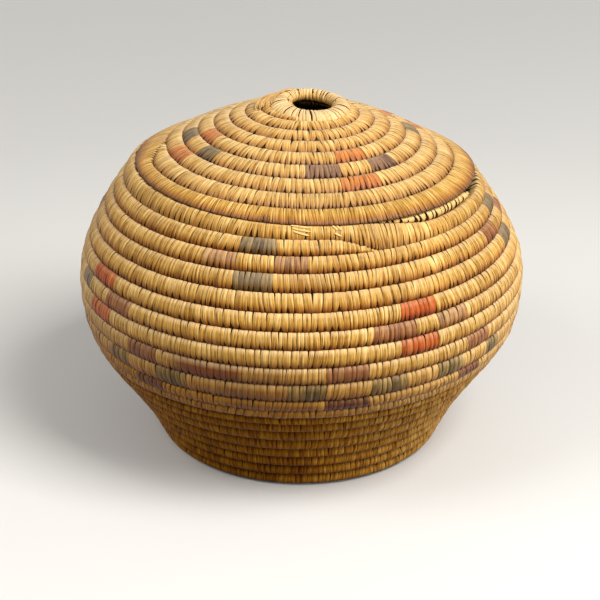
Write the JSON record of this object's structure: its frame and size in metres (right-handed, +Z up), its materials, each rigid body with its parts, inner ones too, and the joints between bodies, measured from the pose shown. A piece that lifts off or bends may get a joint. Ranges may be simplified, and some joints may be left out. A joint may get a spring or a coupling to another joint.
{
  "type": "lidded coiled grass basket",
  "caption": "Round-bellied basket of coiled grass with dyed diamond bands and a domed lift-off lid with a finger ring.",
  "frame": {"origin": "middle of the ground face, under the middle of the floor", "axes": "+Z up through the finger ring, the axis that the rows are coiled round; -Y towards the front of the picture, +X to its right"},
  "size_m": [0.2318, 0.2318, 0.1823],
  "materials": {
    "straw": "satin split-grass stitching",
    "pale_straw": "satin split-grass stitching",
    "deep_straw": "satin split-grass stitching",
    "grey": "satin split-grass stitching, dyed grey",
    "mauve": "satin split-grass stitching, dyed mauve",
    "brown": "satin split-grass stitching, dyed brown",
    "orange": "satin split-grass stitching, dyed orange",
    "green": "satin split-grass stitching, dyed green",
    "rust": "satin split-grass stitching, dyed rust"
  },
  "bodies": {
    "basket": {"belly_coil": "straw", "floor_coil": "deep_straw", "floor_knot": "deep_straw", "foot_coil": "straw", "lower_front_bottom": "rust", "lower_front_left": "green", "lower_front_right": "green", "lower_front_top": "brown", "lower_left_bottom": "rust", "lower_left_left": "green", "lower_left_right": "green", "lower_left_top": "brown", "lower_right_bottom": "mauve", "lower_right_left": "green", "lower_right_right": "green", "lower_right_top": "brown", "lower_wall_coil": "straw", "middle_left_bottom": "orange", "middle_left_left": "grey", "middle_left_right": "brown", "middle_left_top": "orange", "middle_right_bottom": "rust", "middle_right_left": "brown", "middle_right_right": "mauve", "middle_right_top": "orange", "rim_coil": "straw", "rim_lashing_front": "pale_straw", "rim_lashing_right": "pale_straw", "shoulder_coil": "straw", "upper_front_bottom": "grey", "upper_front_left": "mauve", "upper_front_right": "mauve", "upper_front_top": "grey", "upper_right_bottom": "grey", "upper_right_left": "brown", "upper_right_right": "brown", "upper_right_top": "grey"},
    "lid": {"lid_back_bottom": "orange", "lid_back_left": "grey", "lid_back_right": "grey", "lid_back_top": "orange", "lid_coil": "straw", "lid_collar_coil": "pale_straw", "lid_edge_coil": "straw", "lid_front_bottom": "orange", "lid_front_left": "brown", "lid_front_right": "mauve", "lid_front_top": "orange", "lid_left_bottom": "orange", "lid_left_left": "grey", "lid_left_right": "grey", "lid_left_top": "orange", "lid_ring": "straw", "ring_tail": "straw"}
  },
  "joints": [
    {"name": "lid_lift", "type": "slide", "parent": "basket", "child": "lid", "axis": [0, 0, 1], "range_m": [0, 0.12]}
  ]
}
